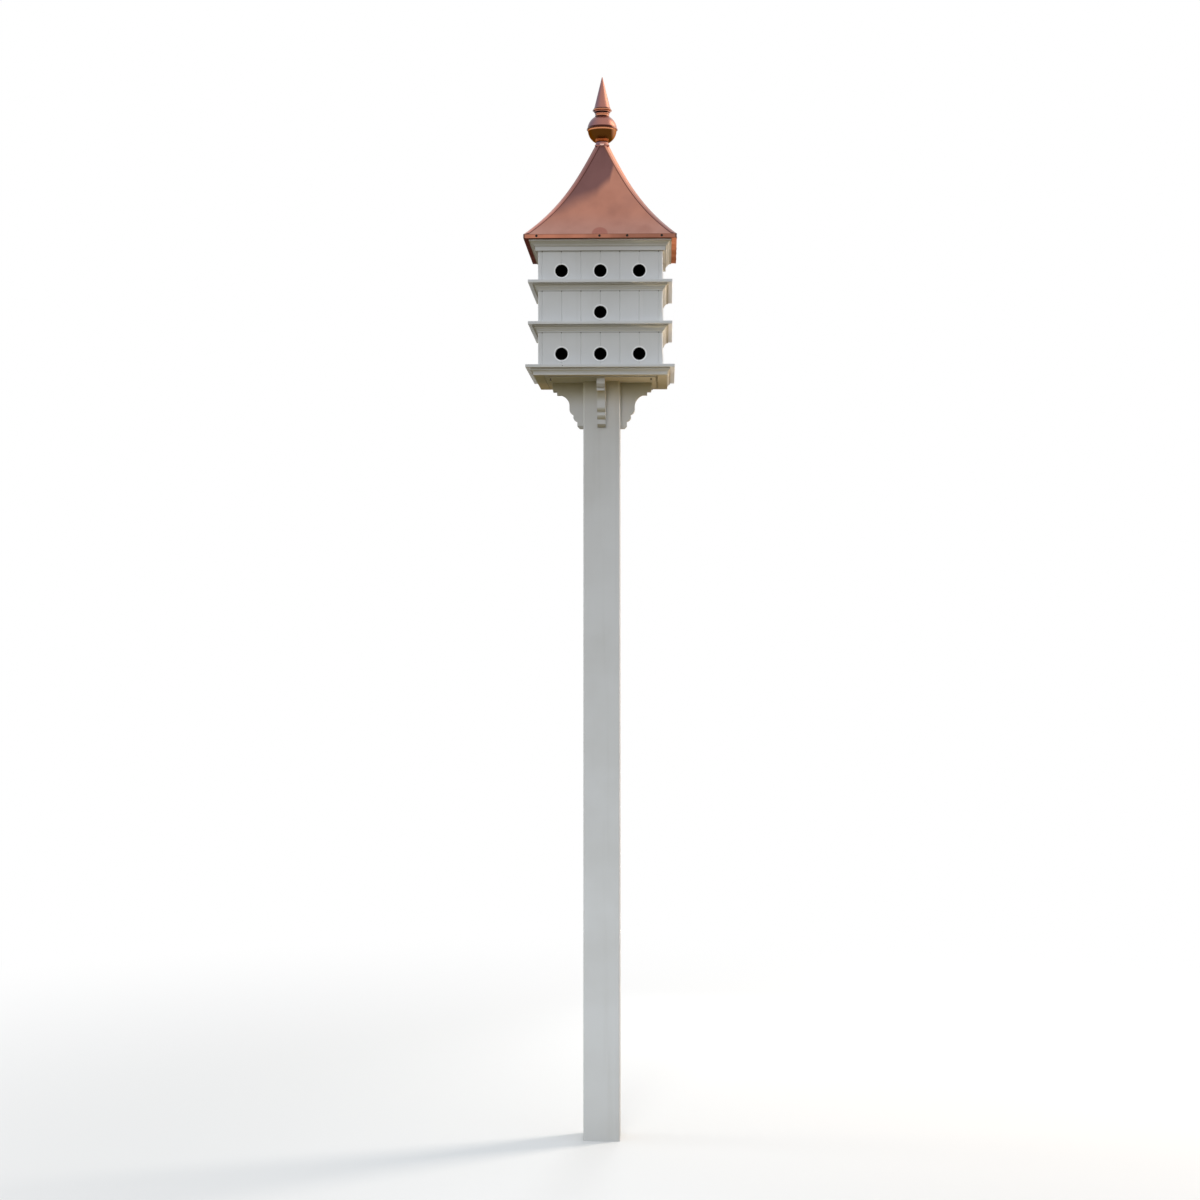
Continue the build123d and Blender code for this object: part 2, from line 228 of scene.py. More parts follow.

# Painted shade in the walls' grooves: all of it up to one distance from a groove's middle and none from
# the other on, and none from one depth under a moulding down and all of it from the other up
GROOVE_PITCH = 0.0889
GROOVE_MIDDLE, GROOVE_FLANK = 0.0012, 0.0030
GROOVE_END_PLAIN, GROOVE_END_SHADED = 0.0075, 0.0035
GROOVE_SHARE = 0.85

# The line of painted shade on the walls, from over a moulding's foot to a depth under it
WALL_LINE_OVER, WALL_LINE_DEPTH = 0.0010, 0.0045
WALL_LINE_SOFT = 0.0008
WALL_LINE_SHARE = 0.30

# Faces count as outward from the first value of outward() on, and fully from the second
OUTWARD_START, OUTWARD_FULL = 0.3, 0.7

# Painted olive shade under the house: how far it reaches under and over the sleeve's top, and its share
# there
SHELTER_DEPTH = 0.13
SHELTER_OVER = 0.001
SHELTER_SHADE_SHARE = 0.62

# Undersides count as such from the first slope on, and fully from the second
UNDERSIDE_START, UNDERSIDE_FULL = -0.10, -0.60

# Painted shade on a bracket: on its bevelled nose, by depths under the sleeve's top, and around its foot,
# by heights over it, which weakens from the left to the right
NOSE_LOW, NOSE_HIGH = 0.0420, 0.0275
NOSE_SOFT = 0.0006
NOSE_SHARE = 0.45
FOOT_SHADED, FOOT_PLAIN = 0.0120, 0.0145
FOOT_REACH = 0.11
FOOT_LEFT_SHARE, FOOT_RIGHT_SHARE = 0.55, 0.08

# Lines of painted shade along the crown mouldings: from and to a depth under the moulding's top, and how
# strong
LEDGE_SHADE_LINES = ((-0.0010, 0.0085, 0.46), (0.0146, 0.0235, 0.22))
CROWN_SHADE_LINES = {
    "platform_crown": ((-0.0010, 0.0055, 0.40),),
    "ledge_crown_low": LEDGE_SHADE_LINES,
    "ledge_crown_high": LEDGE_SHADE_LINES,
    "eave_crown": ((-0.0010, 0.0050, 0.46), (0.0140, 0.0230, 0.26), (0.0278, 0.0330, 0.36)),
}
CROWN_LINE_SOFT = 0.0007
# Faces that look to the right keep only a share of those lines, as painted light from the right
SUNNY_START, SUNNY_FULL = 0.2, 0.6
SUNNY_SHARE = 0.3


def groove_shade(s):
    """Painted shade in the top ends of the wall grooves and in a line under the mouldings."""
    x, y, z = s.axes()
    groove = 0.0
    for across in (x, y):
        off_middle = s.calc("PINGPONG", across, GROOVE_PITCH / 2)
        groove = s.larger(groove, s.range(off_middle, GROOVE_MIDDLE, GROOVE_FLANK, 1.0, 0.0))
    end = 0.0
    line = 0.0
    for name in ("ledge_crown_low", "ledge_crown_high", "frieze"):
        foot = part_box(name)[0][2]
        under = s.range(z, foot - GROOVE_END_PLAIN, foot - GROOVE_END_SHADED)
        end = s.larger(end, s.times(under, s.calc("LESS_THAN", z, foot)))
        line = s.larger(line, s.band(z, foot - WALL_LINE_DEPTH, foot + WALL_LINE_OVER, WALL_LINE_SOFT))
    grooves = s.times(s.times(groove, end), GROOVE_SHARE)
    return s.larger(grooves, s.times(line, WALL_LINE_SHARE))


def bracket_shade(s):
    """Painted shade on a bracket's bevelled nose and, on the left more than on the right, around its foot.
    """
    x, _, z = s.axes()
    nose = s.band(z, SLEEVE_TOP - NOSE_LOW, SLEEVE_TOP - NOSE_HIGH, NOSE_SOFT)
    nose = s.times(s.times(nose, s.range(s.outward(), OUTWARD_START, OUTWARD_FULL)), NOSE_SHARE)
    foot = s.range(z, BRACKET_LOW + FOOT_SHADED, BRACKET_LOW + FOOT_PLAIN, 1.0, 0.0)
    foot = s.times(foot, s.range(x, -FOOT_REACH, FOOT_REACH, FOOT_LEFT_SHARE, FOOT_RIGHT_SHARE))
    return s.larger(nose, foot)


def crown_shade(s):
    """Lines of painted shade in the hollows of each crown moulding, the strongest under its board, and
    weaker on faces that look to the right.
    """
    z = s.height()
    painted_shade = 0.0
    for name, lines in CROWN_SHADE_LINES.items():
        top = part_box(name)[1][2]
        for start, end, share in lines:
            line = s.band(z, top - end, top - start, CROWN_LINE_SOFT)
            painted_shade = s.larger(painted_shade, s.times(line, share))
    return s.times(painted_shade, s.range(s.facing()[0], SUNNY_START, SUNNY_FULL, 1.0, SUNNY_SHARE))


def vinyl(name, streaked=0.0, rooms=False, gloss=0.2, outward_shade=None, underside_shade=0.0, painted_shade=None):
    """White cellular vinyl board: satin, very slightly uneven, with dirt where rain leaves it.

    Streaked is the most dirt in the streaks that run down walls and the post. With rooms, faces in the
    rooms are painted near black as their shade, and the wall grooves get painted shade at their tops and
    in a line under the mouldings. Under the house, board gets painted olive shade that deepens towards the
    sleeve's top: the argument after gloss is its share on faces that look away from the post, and the next
    one is the share of such painted shade on undersides. The last argument, if any, takes the shader and
    gives the share of painted shade, in the tone of the streaks' dirt.
    """
    s = Shader(name)
    broad = s.noise(s.place, scale=2.6, detail=3.0)
    colour = s.mix(s.range(broad, 0.35, 0.7), VINYL_LIGHT, VINYL_DULL)
    if streaked:
        streaks = s.noise(s.moved(scale=(30, 30, 1.2)), detail=3.0)
        colour = s.mix(s.range(streaks, 0.5, 0.85, 0.0, streaked), colour, GRIME_AND_SHADE)
    if rooms:
        # Painted shade: the grooves' tops darkened, and faces in the rooms near black
        inside = s.calc("LESS_THAN", s.reach(), BODY_HALF - ROOM_DEPTH)
        above = s.calc("GREATER_THAN", s.height(), PLATFORM_TOP - ROOM_FLOOR_DEPTH)
        colour = s.mix(groove_shade(s), colour, SHADE_DARK)
        colour = s.mix(s.times(inside, above), colour, ROOM_SHADE)
    # Painted olive shade under the house, deepening towards the sleeve's top
    if outward_shade is not None:
        height = s.height()
        house_shade = s.range(height, SLEEVE_TOP - SHELTER_DEPTH, SLEEVE_TOP, 0.0, SHELTER_SHADE_SHARE)
        house_shade = s.times(house_shade, s.calc("LESS_THAN", height, SLEEVE_TOP + SHELTER_OVER))
        house_shade = s.times(house_shade, s.range(s.outward(), OUTWARD_START, OUTWARD_FULL, 1.0, outward_shade))
        colour = s.mix(house_shade, colour, SHADE_OLIVE)
    # Painted olive shade on undersides
    if underside_shade:
        underside = s.range(s.facing()[2], UNDERSIDE_START, UNDERSIDE_FULL, 0.0, underside_shade)
        colour = s.mix(underside, colour, SHADE_OLIVE)
    # Painted shade, in the tone of the streaks' grime
    if painted_shade:
        colour = s.mix(painted_shade(s), colour, GRIME_AND_SHADE)
    grain = s.noise(s.place, scale=900.0)
    s.set(
        Base_Color=colour,
        Roughness=s.range(s.noise(s.place, scale=45.0), 0.3, 0.7, 0.42, 0.54),
        Specular_IOR_Level=gloss,
        Normal=s.bump(grain, distance=0.0002, strength=0.35),
    )
    return s.material


RIM_WHITE = (0.86, 0.86, 0.86)


def rim_plastic(name):
    """Bright smooth plastic of the entrance rims, a little dusty."""
    s = Shader(name)
    dust = s.noise(s.place, scale=60.0, detail=3.0)
    s.set(
        Base_Color=s.mix(s.range(dust, 0.35, 0.75, 0.0, 0.25), RIM_WHITE, VINYL_LIGHT),
        Roughness=s.range(dust, 0.3, 0.7, 0.25, 0.38),
    )
    return s.material


# Copper of the roof
COPPER_SALMON = (0.475, 0.217, 0.155)
COPPER_PINK = (0.455, 0.240, 0.195)
# Brown is also the tone of a painted reflection on the sheets, and dusk that of painted reflections of
# their dents
COPPER_BROWN = (0.195, 0.096, 0.092)
COPPER_DUSK = (0.375, 0.175, 0.135)
COPPER_STAIN = (0.36, 0.135, 0.105)
COPPER_DARK = (0.055, 0.020, 0.016)
# Tarnish, and the tone of painted shade under the copper edge's hem
COPPER_TARNISH_AND_SHADE = (0.075, 0.050, 0.042)

# A roof sheet turns from pink at the eave to salmon at this height over it
PINK_DEPTH = 0.14
# Its brown patch, a painted reflection, starts at this height at the sheet's middle line, less a wave. The
# patch's lower edge rises to the right, more steeply beyond each bend: a place along the sheet and the
# rise that it adds
BROWN_START = 4.435
BROWN_FADE = 0.085
BROWN_RISE = 0.42
BROWN_BENDS = ((-0.023, 0.85), (0.038, 4.0))
BROWN_WAVE = 0.16
# The patch is whole up to the first place and weaker from the second on
BROWN_FULL_PLACE, BROWN_WEAK_PLACE = 0.055, 0.10
BROWN_WEAK_SHARE = 0.55
# The stain is a half disc over the fastener at this place
STAIN_PLACE = -0.001
STAIN_INNER, STAIN_OUTER = 0.033, 0.040
STAIN_SHARE = 0.8


def sheet_copper(name, turn, stained):
    """A roof sheet: salmon near the eave, with a painted reflection in brown towards the top and the left,
    dusky painted reflections of its dents, brushed by weather.
    """
    s = Shader(name)
    local = s.axes(s.moved(turn=turn))
    along, up = local[0], local[2]
    cloud = s.noise(s.moved(turn=turn, shift=(turn / 7, 0, 0)), scale=3.0, detail=2.5)
    fine = s.noise(s.moved(turn=turn, scale=(9, 9, 3)), detail=4.0)
    edge = s.plus(s.times(along, -BROWN_RISE), up)
    for bend, rise in BROWN_BENDS:
        beyond = s.larger(s.plus(along, -bend), 0.0)
        edge = s.plus(edge, s.times(beyond, -rise))
    edge = s.plus(edge, s.times(cloud, BROWN_WAVE))
    toned = s.range(edge, BROWN_START, BROWN_START + BROWN_FADE)
    toned = s.times(toned, s.range(along, BROWN_FULL_PLACE, BROWN_WEAK_PLACE, 1.0, BROWN_WEAK_SHARE))
    salmon = s.mix(s.range(up, EDGE_TOP, EDGE_TOP + PINK_DEPTH), COPPER_PINK, COPPER_SALMON)
    # Dusky patches: painted reflections of the sheet's dents
    shadows = s.noise(s.moved(turn=turn, shift=(3.1 + turn, 0, 0)), scale=5.0)
    salmon = s.mix(s.range(shadows, 0.45, 0.65, 0.0, 0.70), salmon, COPPER_DUSK)
    colour = s.mix(toned, salmon, COPPER_BROWN)
    colour = s.mix(s.range(fine, 0.35, 0.75, 0.0, 0.10), colour, COPPER_DARK)
    if stained:
        place = s.node("CombineXYZ", {"X": s.plus(along, -STAIN_PLACE), "Z": s.plus(up, -EDGE_TOP)})
        away = s.node("VectorMath", {0: place.outputs["Vector"]}, operation="LENGTH").outputs["Value"]
        colour = s.mix(s.range(away, STAIN_INNER, STAIN_OUTER, STAIN_SHARE, 0.0), colour, COPPER_STAIN)
    s.set(
        Base_Color=colour,
        Metallic=1.0,
        Roughness=s.range(fine, 0.3, 0.7, 0.40, 0.50),
        Normal=s.bump(s.noise(s.place, scale=3.4), distance=0.005, strength=0.5),
    )
    return s.material


def folded(s):
    """What folded copper shares: its fine brushing, and the bump of its slight dents."""
    fine = s.noise(s.moved(scale=(14, 14, 6)), detail=4.0)
    return fine, s.bump(s.noise(s.place, scale=24.0), distance=0.001, strength=0.5)


# The copper edge: its dark corners and its lap on the sheets, each with a width and the stretch of it
# that is solid
CORNER_WIDTH, CORNER_SOLID = 0.008, 0.006
CORNER_SHARE = 0.85
LAP_DEPTH, LAP_SOLID = 0.0030, 0.0015
LAP_SHARE = 0.6
# Its hem looks down more steeply than this. The hem carries painted shade, darkest at the left end and
# none at the right one, and each face is plain at its left end and darkest at its right one
HEM_SLOPE = -0.5
HEM_LEFT, HEM_RIGHT = -0.30, 0.36
HEM_SHADE_SHARE = 0.82
FACE_DARK_LEFT, FACE_DARK_RIGHT = -0.28, 0.24
FACE_DARK_SHARE = 0.44


def edge_tarnish_and_shade(s):
    """Dark at the copper edge's corners, in its lap and towards each face's right end, and painted shade
    under its hem on the left.
    """
    x, y, z = s.axes()
    nearer = s.calc("MINIMUM", s.size(x), s.size(y))
    corner = s.range(nearer, EDGE_HALF - CORNER_WIDTH, EDGE_HALF - CORNER_SOLID, 0.0, CORNER_SHARE)
    lap = s.range(z, EDGE_TOP - LAP_DEPTH, EDGE_TOP - LAP_SOLID, 0.0, LAP_SHARE)
    under = s.calc("LESS_THAN", s.facing()[2], HEM_SLOPE)
    hem_shade = s.times(under, s.range(x, HEM_LEFT, HEM_RIGHT, HEM_SHADE_SHARE, 0.0))
    face = s.range(s.along(), FACE_DARK_LEFT, FACE_DARK_RIGHT, 0.0, FACE_DARK_SHARE)
    return s.larger(s.larger(corner, lap), s.larger(hem_shade, face))


def trim_copper(name, light, dark, tarnish_and_shade=None, tint=None):
    """Folded copper, brushed from a light to a dark tone.

    The fourth argument, if any, takes the shader and gives the share of tarnish and painted shade. Tint is
    then the colour of what the clean copper mirrors at a grazing angle.
    """
    s = Shader(name)
    fine, dents = folded(s)
    colour = s.mix(s.range(fine, 0.3, 0.75), light, dark)
    if tarnish_and_shade:
        share = tarnish_and_shade(s)
        colour = s.mix(share, colour, COPPER_TARNISH_AND_SHADE)
        s.set(Specular_Tint=s.mix(share, tint, COPPER_TARNISH_AND_SHADE))
    s.set(
        Base_Color=colour,
        Metallic=1.0,
        Roughness=s.range(fine, 0.3, 0.7, 0.28, 0.40),
        Normal=dents,
    )
    return s.material


# Hip strips: tones at their feet and heads, painted light that leaves them dusky on the left and salmon on
# the right, and a painted highlight on their ridge
STRIP_DUSK_LOW = (0.58, 0.250, 0.200)
STRIP_DUSK_HIGH = (0.235, 0.110, 0.105)
STRIP_SALMON_LOW = (0.36, 0.180, 0.160)
STRIP_SALMON_HIGH = (0.80, 0.360, 0.250)
STRIP_HIGHLIGHT = (0.85, 0.400, 0.240)
# The tones change between these distances over the eave and under the roof's top, and from left to right
# within this distance from the middle
STRIP_FOOT, STRIP_HEAD = 0.05, 0.10
STRIP_MIDDLE = 0.02
# Distances from the hip line, of the ridge's painted highlight and of the painted shadow line along the
# inner edge, and from the copper edge's face, of the painted shade at the tip
RIDGE_SOLID, RIDGE_WIDTH = 0.0035, 0.0065
RIDGE_HIGHLIGHT_SHARE = 0.8
INNER_LINE, INNER_LINE_SOLID = 0.0140, 0.0155
INNER_SHADOW_SHARE = 0.75
TIP_LENGTH, TIP_SOLID = 0.006, 0.004
TIP_SHADE_SHARE = 0.85


def off_hip(s):
    """How far a point lies from the hip line under it."""
    x, y = s.axes()[:2]
    apart = s.calc("SUBTRACT", s.size(x), s.size(y))
    return s.times(s.size(apart), math.sqrt(0.5))


def strip_copper(name):
    """The hip strips, with painted light: dusky on the left, salmon on the right with a painted highlight
    on the ridge, a painted shadow line along their inner edges and painted shade at their tips.
    """
    s = Shader(name)
    x, _, z = s.axes()
    fine, dents = folded(s)
    height = s.range(z, EDGE_TOP + STRIP_FOOT, ROOF_TOP - STRIP_HEAD)
    left = s.mix(height, STRIP_DUSK_LOW, STRIP_DUSK_HIGH)
    right = s.mix(height, STRIP_SALMON_LOW, STRIP_SALMON_HIGH)
    ridge_highlight = s.times(s.range(off_hip(s), RIDGE_SOLID, RIDGE_WIDTH, RIDGE_HIGHLIGHT_SHARE, 0.0), height)
    right = s.mix(ridge_highlight, right, STRIP_HIGHLIGHT)
    colour = s.mix(s.range(x, -STRIP_MIDDLE, STRIP_MIDDLE), left, right)
    colour = s.mix(s.range(fine, 0.35, 0.75, 0.0, 0.15), colour, COPPER_BROWN)
    # Painted shadow along the inner edge, and painted shade at the tip
    line = s.range(off_hip(s), INNER_LINE, INNER_LINE_SOLID, 0.0, INNER_SHADOW_SHARE)
    tip = s.range(s.reach(), EDGE_HALF - TIP_LENGTH, EDGE_HALF - TIP_SOLID, 0.0, TIP_SHADE_SHARE)
    s.set(
        Base_Color=s.mix(s.larger(line, tip), colour, COPPER_DARK),
        Metallic=1.0,
        Roughness=s.range(fine, 0.3, 0.7, 0.28, 0.38),
        Normal=dents,
    )
    return s.material


# Copper of the finial
# Dusk and light are painted shade on the finial's left and painted sunlight on its right
FINIAL_DUSK = (0.178, 0.108, 0.140)
FINIAL_PINK = (0.39, 0.168, 0.135)
FINIAL_LIGHT = (0.72, 0.340, 0.235)
# The tone of painted shade in creases and on shaded tips, and gold, the tone of painted highlights
FINIAL_SHADE = (0.055, 0.014, 0.009)
FINIAL_GOLD = (0.66, 0.270, 0.130)
# Painted reflections on the ball's lower half: of the dark ground, and of the collar over its foot
BALL_GROUND_REFLECTION = (0.080, 0.028, 0.005)
BALL_TINT = (0.70, 0.47, 0.31)
FOOT_REFLECTION = (0.80, 0.230, 0.070)

# Painted shade in the finial's creases, each from and to a height over its node's foot, and painted
# highlights on its edges likewise
COLLAR_CREASES = ((-0.0010, 0.0012),)
BALL_CREASES = ((-0.0010, 0.0110), (0.0560, 0.0645))
BALL_EDGES = ((0.0655, 0.0700),)
NECK_CREASES = ((0.0095, 0.0168),)
NECK_EDGES = ((-0.001, 0.0080), (0.0178, 0.0240))
SPIRE_CREASES = ((0.0048, 0.0098),)
SPIRE_EDGES = ((-0.001, 0.0042),)
CREASE_SOFT = 0.0012
EDGE_SHARE = 0.8
# Edges are painted dark as shade up to the first bearing and gold as highlights from the second. Crease
# shade is whole up to the third and weak from the fourth, as painted light on the right
SHADED_BEARING, GOLD_BEARING = -0.93, -0.80
CREASED_BEARING, LIT_BEARING = 0.55, 0.92
LIT_CREASE_SHARE = 0.15

# Lower half of the ball: its gold edge, a painted lit band, by depths under the rim, the painted
# reflection of the collar over its foot, by heights over it and by how far it spreads from the middle, and
# painted sunlight on its right-hand faces
GOLD_EDGE, GOLD_EDGE_END = 0.0050, 0.0085
REFLECTION_LOW, REFLECTION_HIGH = 0.0100, 0.0190
REFLECTION_SOFT = 0.002
REFLECTION_HALF, REFLECTION_END = 0.024, 0.034
REFLECTION_SHARE = 0.95
REFLECTION_MATT = 0.9
BALL_SUNNY_START, BALL_SUNNY_FULL = 0.60, 0.90
BALL_SUNNY_SHARE = 0.8


def finial_brushing(s):
    """Fine brushing of the spun copper."""
    return s.noise(s.moved(scale=(20, 20, 6)), detail=3.0)


def side_lit_tones(s, fine):
    """Finial copper with painted light: pale salmon as painted sunlight on its right, dusky as painted
    shade on its left.
    """
    across = s.plus(s.facing()[0], s.range(fine, 0.3, 0.7, -0.12, 0.12))
    colour = s.mix(s.range(across, -0.85, 0.15), FINIAL_DUSK, FINIAL_PINK)
    return s.mix(s.range(across, 0.25, 0.90), colour, FINIAL_LIGHT)


def spun_copper(name, node, creases=(), edges=()):
    """Spun copper of the finial, with painted shade in its creases and painted highlights along its edges.
    """
    s = Shader(name)
    fine = finial_brushing(s)
    colour = side_lit_tones(s, fine)
    z = s.height()
    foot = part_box(node)[0][2]
    shaded = s.range(s.bearing(), SHADED_BEARING, GOLD_BEARING)
    for low, high in edges:
        band = s.times(s.band(z, foot + low, foot + high, CREASE_SOFT), EDGE_SHARE)
        colour = s.mix(band, colour, s.mix(shaded, FINIAL_SHADE, FINIAL_GOLD))
    lit_right = s.range(s.bearing(), CREASED_BEARING, LIT_BEARING, 1.0, LIT_CREASE_SHARE)
    for low, high in creases:
        band = s.times(s.band(z, foot + low, foot + high, CREASE_SOFT), lit_right)
        colour = s.mix(band, colour, FINIAL_SHADE)
    s.set(Base_Color=colour, Metallic=1.0, Roughness=s.range(fine, 0.3, 0.7, 0.30, 0.38))
    return s.material


def ball_copper(name):
    """The ball's lower half: a painted lit gold band under its rim, then a painted dark reflection of the
    ground, with a painted reflection of the collar over its foot and painted sunlight on its right.
    """
    s = Shader(name)
    fine = finial_brushing(s)
    x, _, z = s.axes()
    dark = s.range(z, BALL_MIDDLE - GOLD_EDGE, BALL_MIDDLE - GOLD_EDGE_END)
    collar_reflection = s.band(z, BALL_LOW + REFLECTION_LOW, BALL_LOW + REFLECTION_HIGH, REFLECTION_SOFT)
    collar_reflection = s.times(collar_reflection, s.range(s.size(x), REFLECTION_HALF, REFLECTION_END, REFLECTION_SHARE, 0.0))
    sunny = s.range(s.facing()[0], BALL_SUNNY_START, BALL_SUNNY_FULL, 0.0, BALL_SUNNY_SHARE)
    toned = s.mix(collar_reflection, s.mix(sunny, BALL_GROUND_REFLECTION, FINIAL_GOLD), FOOT_REFLECTION)
    s.set(
        Base_Color=s.mix(dark, FINIAL_GOLD, toned),
        Metallic=s.calc("SUBTRACT", 1.0, s.times(collar_reflection, REFLECTION_MATT)),
        Specular_Tint=BALL_TINT,
        Roughness=s.range(fine, 0.3, 0.7, 0.24, 0.30),
    )
    return s.material


def wood(name, light, dark, roughness):
    """Sawn board with its grain along Z."""
    s = Shader(name)
    grain = s.noise(s.moved(scale=(38, 38, 2.0)), detail=5.0, roughness=0.6)
    s.set(
        Base_Color=s.mix(s.range(grain, 0.3, 0.7), light, dark),
        Roughness=roughness,
        Normal=s.bump(grain, distance=0.001, strength=0.8),
    )
    return s.material


def dark_metal(name, light, dark):
    """Dull dark stuff of small pieces, spotted from a light to a dark tone."""
    s = Shader(name)
    spots = s.noise(s.place, scale=400.0)
    s.set(Base_Color=s.mix(s.range(spots, 0.35, 0.7), light, dark), Metallic=0.6, Roughness=0.6)
    return s.material


def dress(names, material):
    """Give CAD nodes a material."""
    for name in names:
        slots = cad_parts[name].data.materials
        slots.clear()
        slots.append(material)


SHARP_ANGLE = 35
WELD_DISTANCE = 1e-6


def piece(name, bm, material):
    """Turn a bmesh into a piece that stands on the model."""
    mesh = bpy.data.meshes.new(name)
    bmesh.ops.recalc_face_normals(bm, faces=bm.faces)
    bm.to_mesh(mesh)
    bm.free()
    mesh.shade_smooth()
    mesh.set_sharp_from_angle(angle=math.radians(SHARP_ANGLE))
    made = bpy.data.objects.new(name, mesh)
    bpy.context.scene.collection.objects.link(made)
    made.data.materials.append(material)
    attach(made, "root")


def add_turned(bm, centre, outward, profile, segments):
    """Add a turned form. Its profile has pairs of a radius and a height along outward from the centre."""
    axis = Vector(outward).to_track_quat("Z", "Y").to_matrix().to_4x4()
    axis.translation = Vector(centre)
    rings = []
    for radius, height in profile:
        ring = []
        for step in range(segments):
            angle = 2 * math.pi * step / segments
            point = Vector((radius * math.cos(angle), radius * math.sin(angle), height))
            ring.append(bm.verts.new(axis @ point))
        rings.append(ring)
    for lower, upper in zip(rings, rings[1:]):
        for step in range(segments):
            after = (step + 1) % segments
            bm.faces.new((lower[step], lower[after], upper[after], upper[step]))


def turned_piece(name, places, profile, segments, material):
    """Like turned forms as one piece. Each place is a centre and the direction that its form rises in."""
    bm = bmesh.new()
    for centre, outward in places:
        add_turned(bm, centre, outward, profile, segments)
    bmesh.ops.remove_doubles(bm, verts=bm.verts, dist=WELD_DISTANCE)
    piece(name, bm, material)


def on_side(turn, along, out, height):
    """A place on a side, given along it, out from the axis and up, with the direction it faces."""
    turned = Matrix.Rotation(math.radians(turn), 4, "Z")
    return turned @ Vector((along, -out, height)), turned @ Vector((0, -1, 0))


# Entrances: which places of each storey's rows have one, and how high over the floor
ROOM_PITCH = 0.1778
HOLE_RADIUS = 0.027
STOREY_HOLES = {1: 0.053, 2: 0.046, 3: 0.045}
FRONT_ROWS = {1: (-1, 0, 1), 2: (0,), 3: (-1, 0, 1)}
SIDE_ROWS = {1: (0,), 2: (-1, 0, 1), 3: (0,)}
# Their rims, and the dark edge between the hole and the rim, which paints the shade in the hole's mouth
RIM_WIDTH = 0.0083
RIM_PROUD = 0.0022
RIM_EASE = 0.35 * RIM_PROUD
RIM_SUNK = -0.0002
HOLE_SHADE_WIDTH = 0.0019
HOLE_SHADE_LIP = 0.0004
HOLE_SHADE_PROUD = 0.0004
HOLE_SHADE_DEPTH = -0.0030
RIM_SEGMENTS = 64


def entrance_rims(material, shade_material):
    """A slim raised rim around each entrance, one piece for each wall, and the dark edges of all holes as
    painted shade.
    """
    inner = HOLE_RADIUS + HOLE_SHADE_WIDTH
    outer = HOLE_RADIUS + RIM_WIDTH
    rim = [
        (inner, RIM_SUNK), (inner, RIM_PROUD - RIM_EASE), (inner + RIM_EASE, RIM_PROUD),
        (outer - RIM_EASE, RIM_PROUD), (outer, RIM_PROUD - RIM_EASE), (outer, RIM_SUNK), (inner, RIM_SUNK),
    ]
    mouth_shade = [
        (HOLE_RADIUS, HOLE_SHADE_DEPTH), (HOLE_RADIUS, HOLE_SHADE_PROUD), (inner, HOLE_SHADE_PROUD), (inner, RIM_SUNK),
        (HOLE_RADIUS + HOLE_SHADE_LIP, RIM_SUNK), (HOLE_RADIUS, HOLE_SHADE_DEPTH),
    ]
    entrances = []
    for side, turn in SIDES.items():
        rows = FRONT_ROWS if side in ("front", "back") else SIDE_ROWS
        for storey, row in rows.items():
            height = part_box(f"{side}_wall_{storey}")[0][2] + STOREY_HOLES[storey]
            places = [on_side(turn, place * ROOM_PITCH, BODY_HALF, height) for place in row]
            rims = f"{side}_entrance_rims_{storey}"
            turned_piece(rims, places, rim, RIM_SEGMENTS, material)
            entrances += places
    turned_piece("entrance_edges", entrances, mouth_shade, RIM_SEGMENTS, shade_material)


# Fasteners of the copper edge: places along each side, and how far under the edge's top
FASTENER_PLACES = (-0.289, -0.002, 0.124, 0.281)
FASTENER_DROP = 0.0085
FASTENER_PROUD = 0.0013


def edge_fasteners(material):
    """Domed heads of the fasteners that hold the copper edge, four on each side."""
    profile = [
        (0.0058, -0.0003), (0.0058, 0.0003), (0.0048, 0.0009), (0.0026, FASTENER_PROUD),
        (0.0, FASTENER_PROUD),
    ]
    places = [
        on_side(turn, along, EDGE_HALF, EDGE_TOP - FASTENER_DROP)
        for turn in SIDES.values() for along in FASTENER_PLACES
    ]
    turned_piece("edge_fasteners", places, profile, segments=20, material=material)


# Screws of the panel under the house: places across and along it, and how low their heads reach
SCREW_X, SCREW_Y = 0.232, 0.209
SCREW_DROP = 0.010
SCREW_SHANK, SCREW_CROWN, SCREW_HEAD = 0.0025, 0.0035, 0.0055


def panel_screws(material):
    """Screws near the corners of the panel under the house, each with its head standing a little low."""
    profile = [
        (0.0, 0.0), (SCREW_SHANK, 0.0), (SCREW_SHANK, SCREW_DROP - 0.003),
        (SCREW_HEAD, SCREW_DROP - 0.0025), (SCREW_HEAD, SCREW_DROP - 0.001),
        (SCREW_CROWN, SCREW_DROP), (0.0, SCREW_DROP),
    ]
    down = (0, 0, -1)
    places = [((x, y, PANEL_UNDERSIDE), down) for x in (-SCREW_X, SCREW_X) for y in (-SCREW_Y, SCREW_Y)]
    turned_piece("panel_screws", places, profile, segments=16, material=material)


NAIL_PLACE = -0.171


def platform_nails(material):
    """Small nail heads in the edge of the platform board, one on each side."""
    profile = [(0.0, 0.0), (0.0022, 0.0), (0.0018, 0.0006), (0.0, 0.0008)]
    middle = (PLATFORM_LOW + PLATFORM_TOP) / 2
    places = [on_side(turn, NAIL_PLACE, PLATFORM_HALF, middle) for turn in SIDES.values()]
    turned_piece("platform_nails", places, profile, segments=12, material=material)


# The collar's tab and the dark plate under it, its painted shadow. Heights count from the collar's foot
TAB_HALF = 0.010
TAB_LOW, TAB_HIGH = -0.0035, 0.0045
TAB_THICK = 0.0014
TAB_SUNK = 0.0012
TAB_ROUND = 0.0004
TAB_SHADOW_HALF = 0.0115
TAB_SHADOW_LOW = -0.0050
TAB_SHADOW_THICK = 0.0022
TAB_SHADOW_SUNK = 0.001
TAB_SHADOW_ROUND = 0.0005


